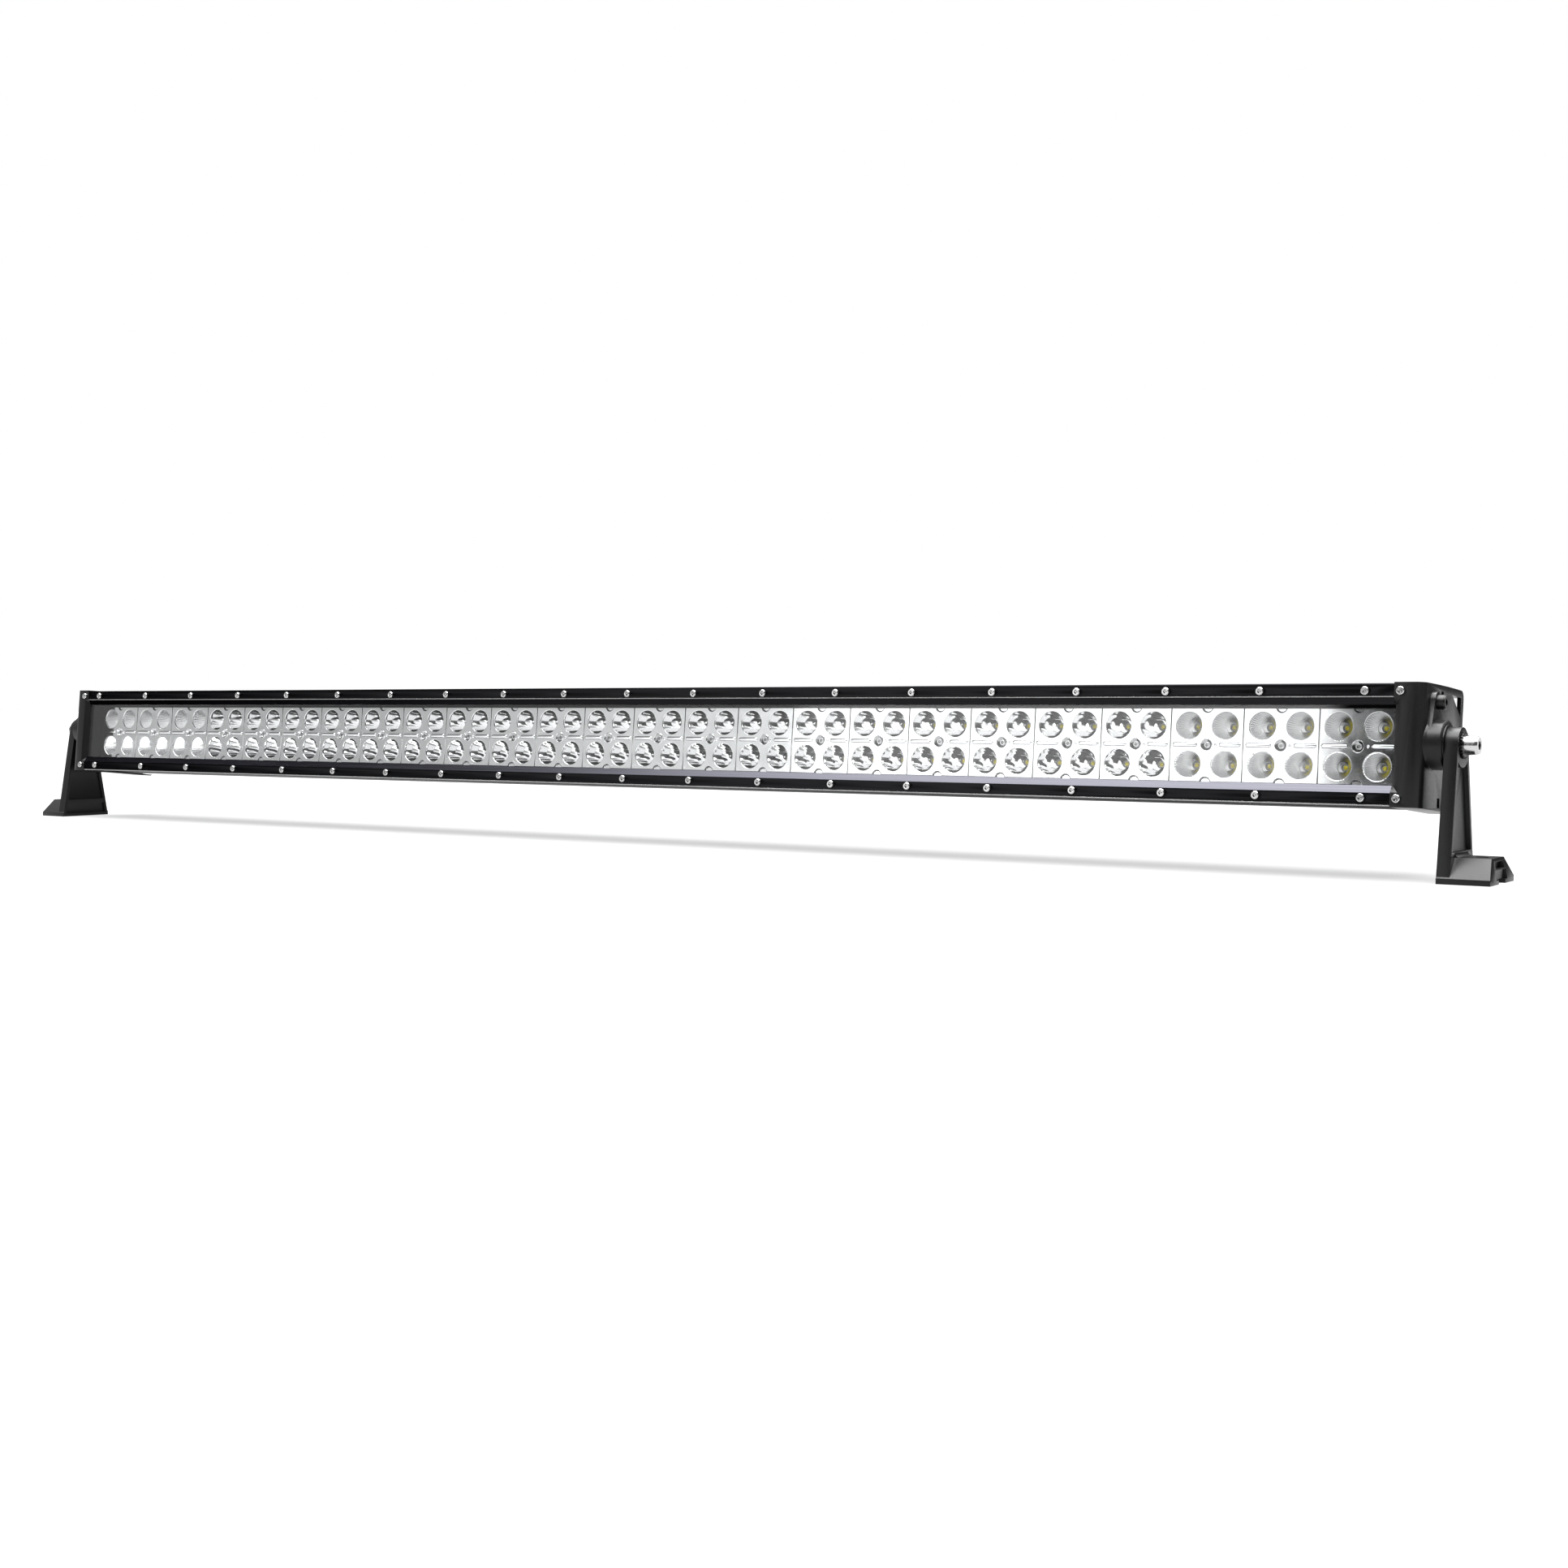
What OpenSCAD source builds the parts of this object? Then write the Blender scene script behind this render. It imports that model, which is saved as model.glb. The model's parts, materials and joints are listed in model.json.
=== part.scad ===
// Double-row LED light bar for trucks and trailers.
// The origin is on the mounting plane, midway between the two bracket bolts.
// +X runs along the bar, the light shines towards -Y, and +Z is up.
// The head's own frame has x along the bar, y as depth behind the rails' front
// plane, and z up from the middle of the bar. on_head() puts it on the pivot.

/* [Bar] */
// Number of reflector modules side by side
module_count = 25; // [25:2:25]
// Width of one reflector module along the bar
module_pitch = 50; // [50:0.5:51]
// Height over the two front rails
rails_height = 75; // [75:0.5:76]
// Depth from the rails' front plane to the back of the rear ribs
head_depth = 82; // [80:1:86]
// Screws along each rail
rail_screw_count = 20; // [10:1:24]

/* [Tilt] */
// How far the light is aimed above level, in degrees
head_tilt = 5.5; // [-60:0.5:60]
// Height of the pivot above the mounting plane
pivot_height = 82.5; // [80:0.5:100]

/* [Reflector cups] */
// Radius of a cup's mouth
cup_mouth_r = 9; // [8:0.1:10]
// Spacing of the cups both ways
cup_spacing = 25; // [24:0.5:25]
// Depth of a cup from the module's face to the emitter
cup_depth = 14.5; // [12:0.5:15]

/* [Brackets] */
// Thickness of the upright arm
arm_t = 8; // [6:0.5:10]
// Radius of the arm's round top
arm_top_r = 11; // [10:0.5:12]
// Width of the bracket at the mounting plane
arm_foot_w = 51; // [44:1:54]
// How far the foot reaches out from the arm's inner face
foot_reach = 32; // [30:1:40]
// Height of the foot
foot_h = 15.5; // [14:0.5:20]
// How far the foot's end face leans back at the top
foot_draft = 2.5; // [0:0.5:3]
// Radius of the mounting bolt's hole
foot_hole_r = 4.25; // [3:0.25:5]

/* [Pivot bolt] */
// Radius of the pivot bolt's shank
pivot_bolt_r = 4; // [3:0.5:4]
// Radial running clearance of the arm on the pivot bolt
pivot_clearance = 0.08; // [0.02:0.01:0.1]

/* [Hidden] */
$fn = 48;
module_numbers = [for (i = [1 : module_count]) i];
function two_digits(i) = str(i < 10 ? "0" : "", i);
reflector_nodes = [for (i = module_numbers) str("reflector_", two_digits(i))];

left = -1;
right = 1;
gap = 0.1;              // overshoot of a cutting tool
tap_clear = 0.05;       // radial room round a fastener's thread

// Stations along the bar
reflectors_half = module_count * module_pitch / 2;
rail_half = reflectors_half + 2;
housing_half = rail_half + 10;
gasket_t = 1.5;
cap_plate_x = housing_half + gasket_t;
cap_outer_x = rail_half + 18;
boss_face_x = cap_outer_x + 10;
boss_ring_x = boss_face_x + 0.65;
arm_inner_x = boss_ring_x + 0.35;
arm_outer_x = arm_inner_x + arm_t;
washer_t = 1.2;
washer_x = arm_outer_x + 0.35;
foot_end_x = arm_inner_x + foot_reach;
foot_hole_x = arm_inner_x + 20;

// Depths behind the front plane
rail_t = 4;
lens_t = 3;
lens_back = rail_t + lens_t;
lens_gasket_t = 1;
ledge_y = lens_back + lens_gasket_t;
reflector_y = 19;
board_t = 1.6;
web_y = 37;
web_t = 4.5;
board_y = web_y - board_t;
chamber_y = web_y + web_t;
rib_h = 3;
rear_wall_y = head_depth - rib_h;
pivot_y = 20;

// Heights from the middle of the bar
pivot_z = 1.5;
rail_outer_z = rails_height / 2;
rail_flat_z = rail_outer_z - 8.5;
rail_inner_z = rail_outer_z - 12.7;
rail_screw_z = rail_outer_z - 4.75;
housing_z = rail_outer_z - 0.9;
cavity_z = 25;
lens_z = 29.6;
module_z = 24;
chamber_z = 19;
driver_box_z = 22;
cap_front_z = 38.2;
cap_rear_z = 40.6;
cap_low_z = -38;

// Fasteners
m3_r = 1.5;
m3_head_r = 2.7;
m3_head_h = 2.2;
m5_r = 2.5;
cap_bolt_z = 27.6;
cap_bolt_rear_y = 72;
corner_screw_x = rail_half + 4.2;
rail_end_screw_x = rail_half - 17.7;
rail_screw_pitch = 2 * (rail_half - 21.2) / (rail_screw_count - 1);
rail_screw_xs = concat([-rail_end_screw_x],
    [for (i = [1 : rail_screw_count - 2]) (i - (rail_screw_count - 1) / 2) * rail_screw_pitch],
    [rail_end_screw_x]);
module_xs = [for (i = module_numbers) (i - (module_count + 1) / 2) * module_pitch];
cup_offsets = [-cup_spacing / 2, cup_spacing / 2];

// Puts head geometry on the pivot at the head's rest tilt.
module on_head()
    translate([0, 0, pivot_height]) rotate([-head_tilt, 0, 0])
        translate([0, -pivot_y, -pivot_z]) children();

// Extrudes a (depth, height) outline along the bar from one x to another.
module along_bar(x0, x1)
    translate([x0, 0, 0]) rotate([90, 0, 90]) linear_extrude(x1 - x0) children();

// A round bar along the head's depth, from y0 to y1.
module along_depth(x, z, r, y0, y1)
    translate([x, y0, z]) rotate([-90, 0, 0]) cylinder(h = y1 - y0, r = r);

// A round bar along the bar at a (depth, height) place, from x0 to x1.
module round_x(y, z, r, x0, x1)
    translate([x0, y, z]) rotate([0, 90, 0]) cylinder(h = x1 - x0, r = r);

module box(x0, x1, y0, y1, z0, z1)
    translate([x0, y0, z0]) cube([x1 - x0, y1 - y0, z1 - z0]);

module both_heights() {
    children();
    mirror([0, 0, 1]) children();
}

module at_end(side) mirror([side == left ? 1 : 0, 0, 0]) children();

// A 2D rectangle by its limits.
module area(y0, y1, z0, z1) translate([y0, z0]) square([y1 - y0, z1 - z0]);

// Socket head screw along +Y: head's outer face at y = -head_h, shank to shank_len.
module socket_screw(head_r, head_h, shank_r, shank_len, hex_r) {
    difference() {
        rotate([90, 0, 0]) rotate_extrude() polygon([
            [0, 0], [head_r, 0], [head_r, head_h * 0.8], [head_r * 0.87, head_h], [0, head_h]]);
        translate([0, -head_h - gap, 0]) rotate([-90, 0, 0])
            cylinder(h = head_h * 0.6 + gap, r = hex_r, $fn = 6);
    }
    rotate([-90, 0, 0]) cylinder(h = shank_len, r = shank_r);
}

// ---- Housing extrusion ----
fin_t = 1.8;
fin_pitch = 3.5;
top_groove_w = 3;
top_groove_z = 31.2;

module housing_outline() {
    area(rail_t, chamber_y, -housing_z, housing_z);
    area(chamber_y - gap, rear_wall_y, -driver_box_z, driver_box_z);
    for (i = [0 : 3], up = [-1, 1])
        translate([chamber_y - gap, up * (driver_box_z + 3.2 + i * fin_pitch) - fin_t / 2])
            square([31 - 1.1 * i * i + gap, fin_t]);
    for (i = [-3 : 3])
        translate([rear_wall_y - gap, i * 6 - 1]) square([rib_h + gap, 2]);
}

module housing_hollows() {
    area(0, ledge_y, -lens_z - 0.2, lens_z + 0.2);
    area(ledge_y - gap, web_y, -cavity_z, cavity_z);
    difference() {
        area(chamber_y, rear_wall_y - 3, -chamber_z, chamber_z);
        area(cap_bolt_rear_y - 4.5, rear_wall_y, -4.5, 4.5);
    }
    for (y = [16 : 6 : 34], up = [0, 1]) mirror([0, up])
        area(y, y + top_groove_w, top_groove_z, housing_z + gap);
}

module cap_bolt_places() {
    translate([0, pivot_y, cap_bolt_z]) children();
    translate([0, cap_bolt_rear_y, 0]) children();
}

module rail_screw_holes(r, y0, y1)
    for (x = rail_screw_xs, z = [-rail_screw_z, rail_screw_z]) along_depth(x, z, r, y0, y1);

module corner_screw_holes(r, y0, y1)
    for (x = [-corner_screw_x, corner_screw_x], z = [-rail_screw_z, rail_screw_z])
        along_depth(x, z, r, y0, y1);

gland_x = -520;
vent_x = 520;
gland_thread_r = 6;
vent_thread_r = 4;
lead_x = cup_spacing / 2;
grommet_r = 3;

module housing() color("#1c1d1f") on_head() difference() {
    along_bar(-housing_half, housing_half) difference() {
        housing_outline();
        housing_hollows();
    }
    rail_screw_holes(m3_r + tap_clear, 0, 13);
    corner_screw_holes(m3_r + tap_clear, 0, 13);
    for (side = [left, right]) at_end(side) cap_bolt_places()
        rotate([0, 90, 0]) translate([0, 0, housing_half - 16])
            cylinder(h = 17, r = m5_r + tap_clear);
    for (x = module_xs) along_depth(x, 0, 1.25 + tap_clear, web_y - gap, chamber_y + gap);
    along_depth(lead_x, 0, grommet_r + tap_clear, web_y - gap, chamber_y + gap);
    along_depth(gland_x, 0, gland_thread_r + tap_clear, rear_wall_y - 4, head_depth + gap);
    along_depth(gland_x, 0, 11, rear_wall_y, head_depth + gap);
    along_depth(vent_x, 0, vent_thread_r + tap_clear, rear_wall_y - 4, head_depth + gap);
    along_depth(vent_x, 0, 11, rear_wall_y, head_depth + gap);
    for (x = [gland_x, vent_x])
        box(x - 12, x + 12, cap_bolt_rear_y - 6, rear_wall_y - 3, -6, 6);
    for (x = standoff_xs, z = standoff_zs)
        along_depth(x, z, 1.5, chamber_y - 3, chamber_y + gap);
}

// ---- Front rails ----
module rail_profile() polygon([
    [0, rail_flat_z + 0.5], [0, rail_outer_z - 0.7], [0.7, rail_outer_z], [rail_t, rail_outer_z],
    [rail_t, rail_inner_z], [rail_t - 0.8, rail_inner_z], [0.5, rail_flat_z]]);

module rail(up) color("#17181a") on_head() mirror([0, 0, up > 0 ? 0 : 1]) difference() {
    along_bar(-rail_half, rail_half) rail_profile();
    for (x = rail_screw_xs) along_depth(x, rail_screw_z, 1.7, -gap, rail_t + gap);
}

module rail_screws(up) color("#d8dadc") on_head()
    for (x = rail_screw_xs) translate([x, 0, up * rail_screw_z])
        socket_screw(m3_head_r, m3_head_h, m3_r, 12, 1.4);

module corner_screws() color("#d8dadc") on_head()
    for (x = [-corner_screw_x, corner_screw_x], z = [-rail_screw_z, rail_screw_z])
        translate([x, 0, z]) socket_screw(m3_head_r, m3_head_h, m3_r, 12, 1.4);

// ---- Lens and its gasket ----
lens_half = housing_half - 3;
gasket_band = 3.6;

module lens() color("#dfe8ea") on_head()
    box(-lens_half, lens_half, rail_t, lens_back, -lens_z, lens_z);

module lens_gasket() color("#2b2b2b") on_head() difference() {
    box(-lens_half, lens_half, lens_back, ledge_y, -lens_z, lens_z);
    box(-lens_half + gasket_band, lens_half - gasket_band, lens_back - gap, ledge_y + gap,
        -lens_z + gasket_band, lens_z - gasket_band);
}

// ---- Reflector modules ----
cup_floor_r = 3.2;
cup_wall = 1;
module_gap = 0.1;
screw_recess_r = 3.65;
notch_r = 3.7;

// The inside of a cup, as depth and radius, bulging like a parabola.
function cup_r(d) = cup_floor_r + (cup_mouth_r - cup_floor_r) * sqrt(1 - d / cup_depth);
cup_steps = 4;
cup_curve = [for (i = [0 : cup_steps]) [cup_r(i * cup_depth / cup_steps), -i * cup_depth / cup_steps]];

module cup_solid(extra) rotate([90, 0, 0]) rotate_extrude() polygon(concat(
    [[0, 0]], [for (p = cup_curve) [p[0] + extra, p[1]]], [[0, -cup_depth]]));

module reflector(i) color(i <= 3 || i > module_count - 3 ? "#e9eaec" : "#dcdee0")
on_head() translate([module_xs[i - 1], 0, 0]) {
    half_w = module_pitch / 2 - module_gap;
    difference() {
        union() {
            box(-half_w, half_w, reflector_y, reflector_y + 2, -module_z, module_z);
            both_heights() box(-half_w, half_w, reflector_y + 2 - gap, board_y, module_z - 1.4, module_z);
            for (x = cup_offsets, z = cup_offsets)
                translate([x, reflector_y, z]) cup_solid(cup_wall);
            along_depth(0, 0, 3.2, reflector_y + 1, board_y);
            along_depth(0, 0, screw_recess_r + 1, reflector_y + 1, reflector_y + 4);
        }
        for (x = cup_offsets, z = cup_offsets) translate([x, reflector_y, z]) {
            cup_solid(0);
            along_depth(0, 0, cup_mouth_r, -1, 0);
            along_depth(0, 0, cup_floor_r, cup_depth - 1, cup_depth + 1);
        }
        along_depth(0, 0, screw_recess_r, reflector_y - gap, reflector_y + 2.5);
        along_depth(0, 0, 1.25 + tap_clear, reflector_y, board_y + gap);
        both_heights() along_depth(0, module_z + 0.6, notch_r, reflector_y - gap, reflector_y + 2 + gap);
    }
}

module reflector_screws() color("#c9cbcd") on_head()
    for (x = module_xs) translate([x, reflector_y + 2.5, 0])
        socket_screw(2.25, 1.6, 1.25, chamber_y - reflector_y - 3, 0.9);

// ---- LED boards and emitters ----
board_count = 5;
board_len = module_count * module_pitch / board_count;
board_seam_xs = [for (i = [1 : board_count - 1]) (i - board_count / 2) * board_len];
chip_w = 3.5;

module led_boards() color("#f1f1ec") on_head() difference() {
    for (i = [0 : board_count - 1]) translate([(i - board_count / 2) * board_len, 0, 0])
        box(0.5, board_len - 0.5, board_y, web_y, -cavity_z + 0.5, cavity_z - 0.5);
    for (x = module_xs) along_depth(x, 0, 1.25 + tap_clear, board_y - gap, web_y + gap);
    along_depth(lead_x, 0, 2.4, board_y - gap, web_y + gap);
}

module led_chips() color("#e6d24a") on_head()
    for (m = module_xs, x = cup_offsets, z = cup_offsets) translate([m + x, board_y, z]) {
        box(-chip_w / 2, chip_w / 2, -0.7, 0, -chip_w / 2, chip_w / 2);
        intersection() {
            translate([0, -0.6, 0]) sphere(r = 1.5);
            box(-2, 2, -3, -0.6, -2, 2);
        }
    }

module board_links() color("#efefe9") on_head()
    for (x = board_seam_xs) box(x - 5, x + 5, board_y - 2, board_y, -2, 2);

// ---- End caps ----
cap_arc_steps = 8;
cap_corner_r = 5;
flange_round = 6;
flange_round_depth = 8;

// Top edge of the cap's side outline: it rises towards the back in a shallow curve.
function cap_edge(y) = cap_front_z + (cap_rear_z - cap_front_z) * sin(90 * y / head_depth);
cap_corner_y = head_depth - cap_corner_r;

module cap_outline() polygon(concat(
    [for (i = [0 : cap_arc_steps]) let(y = i * cap_corner_y / cap_arc_steps) [y, cap_edge(y)]],
    [for (a = [75 : -15 : 0]) [cap_corner_y + cap_corner_r * cos(a),
        cap_edge(cap_corner_y) - cap_corner_r + cap_corner_r * sin(a)]],
    [for (a = [0 : -15 : -90]) [cap_corner_y + cap_corner_r * cos(a),
        cap_low_z + cap_corner_r + cap_corner_r * sin(a)]],
    [[0, cap_low_z]]));

// Plan of the cap: its front outer edge is rounded.
module cap_plan() polygon(concat(
    [[rail_half, 0]],
    [for (a = [90 : -15 : 0]) [cap_outer_x - flange_round + flange_round * cos(a),
        flange_round_depth * (1 - sin(a))]],
    [[cap_outer_x, head_depth + 1], [rail_half, head_depth + 1]]));

// The lens opening in the front flange, with a sloped edge on three sides.
flange_slope = (rail_flat_z - rail_inner_z) / rail_t;
module flange_opening() intersection() {
    translate([0, 0, -40]) linear_extrude(80) polygon([
        [rail_half - 2, -1], [rail_half + 4.5 + flange_slope, -1],
        [rail_half + 4.5 - rail_t * flange_slope, rail_t],
        [rail_half + 4.5 - rail_t * flange_slope, rail_t + 0.5], [rail_half - 2, rail_t + 0.5]]);
    along_bar(rail_half - 3, cap_outer_x) polygon([
        [-1, rail_flat_z + flange_slope], [rail_t, rail_inner_z], [rail_t + 1, rail_inner_z],
        [rail_t + 1, -rail_inner_z], [rail_t, -rail_inner_z], [-1, -rail_flat_z - flange_slope]]);
}

boss_r = 15.3;
boss_ring_r = 12.6;
boss_root = 2;          // how deep the boss reaches into the plate
gusset_t = 3;
window_front_y = 58;
window_rear_y = head_depth - 5.5;
window_top_z = 35.8;
window_low_z = 23.6;
window_wall = 2.5;

module boss_and_gusset() {
    boss_l = boss_root + boss_face_x - cap_outer_x;
    ring_l = boss_root + boss_ring_x - cap_outer_x;
    translate([cap_outer_x - boss_root, pivot_y, pivot_z]) rotate([0, 90, 0]) rotate_extrude()
        polygon([
            [0, 0], [boss_r + 0.8, 0], [boss_r + 0.8, boss_root], [boss_r, boss_root + 1.2],
            [boss_r, boss_l - 0.8], [boss_r - 0.8, boss_l], [boss_ring_r, boss_l],
            [boss_ring_r, ring_l], [0, ring_l]]);
    along_bar(cap_outer_x - boss_root, cap_outer_x + gusset_t) {
        translate([pivot_y, cap_bolt_z]) circle(r = 6.4);
        polygon([[pivot_y - 12.5, 8], [pivot_y - 6, cap_bolt_z + 2],
                 [pivot_y + 6, cap_bolt_z + 2], [pivot_y + 12.5, 8]]);
    }
}

// One three-cornered window and the pocket that thins the plate behind it.
module cap_window() {
    along_bar(cap_plate_x - 1, cap_outer_x + 1) polygon([
        [window_front_y, window_top_z], [window_rear_y, window_top_z], [window_rear_y, window_low_z]]);
    box(cap_plate_x - 1, cap_outer_x - window_wall, window_front_y - 3, head_depth + 1,
        window_low_z - 0.6, window_top_z + 0.4);
}

module end_cap(side) color("#26272a") on_head() at_end(side) difference() {
    union() {
        intersection() {
            along_bar(rail_half, cap_outer_x) cap_outline();
            translate([0, 0, -cap_rear_z - 1]) linear_extrude(2 * cap_rear_z + 2) cap_plan();
        }
        boss_and_gusset();
    }
    box(rail_half - 1, cap_plate_x, rail_t, head_depth + 1, -housing_z - 0.2, housing_z + 0.2);
    flange_opening();
    both_heights() {
        cap_window();
        box(cap_outer_x - 3, cap_outer_x + 1, 35, 40, 30, 36);
    }
    for (z = [-rail_screw_z, rail_screw_z])
        along_depth(corner_screw_x, z, 1.7, -1, rail_t + 1);
    cap_bolt_places() rotate([0, 90, 0]) translate([0, 0, cap_plate_x - 1])
        cylinder(h = 20, r = m5_r + tap_clear);
    round_x(pivot_y, pivot_z, pivot_bolt_r + tap_clear, cap_plate_x + 2, boss_ring_x + 1);
}

module end_gasket(side) color("#303030") on_head() at_end(side) difference() {
    along_bar(housing_half, cap_plate_x) difference() {
        union() {
            area(ledge_y, chamber_y, -housing_z, housing_z);
            area(chamber_y - gap, rear_wall_y, -driver_box_z, driver_box_z);
        }
        area(ledge_y + 4, web_y - 1, -cavity_z, cavity_z);
        difference() {
            area(chamber_y + 1, rear_wall_y - 3, -chamber_z, chamber_z);
            area(cap_bolt_rear_y - 4.5, rear_wall_y, -4.5, 4.5);
        }
    }
    cap_bolt_places() rotate([0, 90, 0]) translate([0, 0, housing_half - 1])
        cylinder(h = 4, r = m5_r + tap_clear);
}

cap_bolt_head_h = 5;
module cap_bolt(head_x, length)
    translate([head_x, 0, 0]) rotate([0, 0, 90]) socket_screw(4.6, cap_bolt_head_h, m5_r, length, 2.3);

module cap_bolts(side) color("#0e0e0f") on_head() at_end(side) {
    translate([0, pivot_y, cap_bolt_z])
        cap_bolt(cap_outer_x + gusset_t, cap_outer_x + gusset_t - housing_half + 14);
    translate([0, cap_bolt_rear_y, 0]) cap_bolt(cap_outer_x, cap_outer_x - housing_half + 14);
}

// ---- Pivots ----
pivot_head_r = 5.9;
pivot_head_h = 8.2;
washer_r = 8.2;
washer_teeth = 24;

module pivot_bolt(side) color("#cfd1d3") on_head() at_end(side)
    translate([washer_x + washer_t, pivot_y, pivot_z]) rotate([0, 0, 90])
        socket_screw(pivot_head_r, pivot_head_h, pivot_bolt_r, washer_x + washer_t - cap_plate_x - 3, 2.9);

module pivot_washer(side) color("#161617") on_head() at_end(side)
    translate([washer_x, pivot_y, pivot_z]) rotate([0, 90, 0]) difference() {
        cylinder(h = washer_t, r = washer_r);
        translate([0, 0, -gap]) cylinder(h = washer_t + 2 * gap, r = pivot_bolt_r + tap_clear);
        for (i = [1 : washer_teeth]) rotate([0, 0, i * 360 / washer_teeth])
            translate([washer_r - 1.2, -0.5, -gap]) cube([2, 1, washer_t + 2 * gap]);
    }

// ---- Brackets ----
foot_top_front = -14;
foot_top_back = 12;
foot_lip_h = 3.5;
flange_w = 3;
outer_recess = 2.6;
inner_recess = 1.8;

// Side outline of the arm, drawn in a little by inset.
module arm_outline(inset) {
    translate([0, pivot_height]) circle(r = arm_top_r - inset);
    polygon([
        [-arm_foot_w / 2 + inset, 0], [arm_foot_w / 2 - inset, 0],
        [arm_top_r - inset, pivot_height], [-arm_top_r + inset, pivot_height]]);
}

module recess_outline(z0, z1) difference() {
    arm_outline(flange_w);
    translate([0, pivot_height]) circle(r = arm_top_r + 2.5);
    area(-arm_foot_w, arm_foot_w, -1, z0);
    area(-arm_foot_w, arm_foot_w, z1, pivot_height * 2);
}

module foot_outline() polygon([
    [-arm_foot_w / 2, 0], [-arm_foot_w / 2, foot_lip_h], [foot_top_front, foot_h],
    [foot_top_back, foot_h], [arm_foot_w / 2, foot_lip_h], [arm_foot_w / 2, 0]]);

// Front view of the foot: its end face leans back.
module foot_front() polygon([
    [arm_inner_x, 0], [foot_end_x, 0], [foot_end_x, foot_lip_h],
    [foot_end_x - foot_draft, foot_h], [arm_inner_x, foot_h]]);

module foot() intersection() {
    along_bar(arm_inner_x, foot_end_x) foot_outline();
    translate([0, arm_foot_w, 0]) rotate([90, 0, 0]) linear_extrude(2 * arm_foot_w) foot_front();
}

fillet_r = 3;
module foot_fillet() translate([0, foot_top_front, 0]) rotate([-90, 0, 0])
    linear_extrude(foot_top_back - foot_top_front) difference() {
        translate([arm_outer_x - outer_recess, -foot_h - fillet_r]) square([outer_recess + fillet_r, fillet_r + gap]);
        translate([arm_outer_x + fillet_r, -foot_h - fillet_r]) circle(r = fillet_r);
    }

module bracket(side) color("#232427") at_end(side) difference() {
    union() {
        along_bar(arm_inner_x, arm_outer_x) arm_outline(0);
        foot();
        foot_fillet();
    }
    along_bar(arm_outer_x - outer_recess, arm_outer_x + 0.01) recess_outline(foot_h + fillet_r, pivot_height);
    along_bar(arm_inner_x - 1, arm_inner_x + inner_recess) recess_outline(16, pivot_height);
    along_bar(arm_inner_x - 1, arm_inner_x + inner_recess) recess_outline(3, 12);
    round_x(0, pivot_height, pivot_bolt_r + pivot_clearance, arm_inner_x - 1, arm_outer_x + 1);
    translate([foot_hole_x, 0, -1]) cylinder(h = foot_h + 2, r = foot_hole_r);
    box(foot_end_x - 4.5, foot_end_x + 1, -9, 9, 9.2, foot_h - 2.2);
    box(foot_end_x - 2.2, foot_end_x + 1, -12, 11, 2.4, 8.4);
    box(foot_end_x - 5, foot_end_x + 1, -7, 7, -1, 2.4);
}

// ---- Driver and wiring behind the web ----
driver_half = 150;
driver_board_y = chamber_y + 5;
standoff_xs = [-140, 140];
standoff_zs = [-12, 12];

module driver_board() color("#1f5a34") on_head() difference() {
    box(-driver_half, driver_half, driver_board_y, driver_board_y + board_t, -16.5, 16.5);
    for (x = standoff_xs, z = standoff_zs)
        along_depth(x, z, 1.6, driver_board_y - gap, driver_board_y + board_t + gap);
}

module driver_components() color("#2e2f33") on_head()
    translate([0, driver_board_y + board_t, 0]) {
        for (x = [-110 : 44 : 110]) along_depth(x, 6.5, 6, 0, 14);
        for (x = [-88 : 44 : 88]) {
            box(x - 7, x + 7, 0, 9, -1, 13);
            box(x - 6, x + 6, 0, 4.5, -14, -5);
        }
        for (x = [-110 : 44 : 110]) box(x - 4, x + 4, 0, 2.4, -13, -5);
    }

module driver_standoffs() color("#b8a15a") on_head()
    for (x = standoff_xs, z = standoff_zs) {
        along_depth(x, z, 1.45, chamber_y - 2.8, driver_board_y + board_t + 1);
        along_depth(x, z, 3, chamber_y, driver_board_y);
        along_depth(x, z, 2.7, driver_board_y + board_t, driver_board_y + board_t + 1.8);
    }

module led_leads() color("#b3261e") on_head()
    for (dx = [-1.1, 1.1]) along_depth(lead_x + dx, 0, 0.8, board_y - 0.6, driver_board_y);

module lead_grommet() color("#202020") on_head() difference() {
    union() {
        along_depth(lead_x, 0, grommet_r, web_y, chamber_y);
        along_depth(lead_x, 0, grommet_r + 1.2, chamber_y, chamber_y + 1);
    }
    for (dx = [-1.1, 1.1])
        along_depth(lead_x + dx, 0, 0.85, web_y - gap, chamber_y + 2);
}

// ---- Cable gland and vent on the rear wall ----
cable_r = 3.4;

module gland_round(r_in, r_out, y0, y1) translate([gland_x, 0, 0]) difference() {
    along_depth(0, 0, r_out, y0, y1);
    along_depth(0, 0, r_in, y0 - gap, y1 + gap);
}

module cable_gland() color("#1a1a1b") on_head() translate([gland_x, 0, 0]) difference() {
    union() {
        along_depth(0, 0, gland_thread_r, rear_wall_y - 9, rear_wall_y + 9);
        translate([0, rear_wall_y, 0]) rotate([-90, 30, 0]) cylinder(h = 4.5, r = 9, $fn = 6);
    }
    along_depth(0, 0, 4.2, rear_wall_y - 10, rear_wall_y + 10);
}

module gland_seal() color("#101010") on_head()
    gland_round(cable_r, 4.2, rear_wall_y + 1, rear_wall_y + 9);

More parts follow.
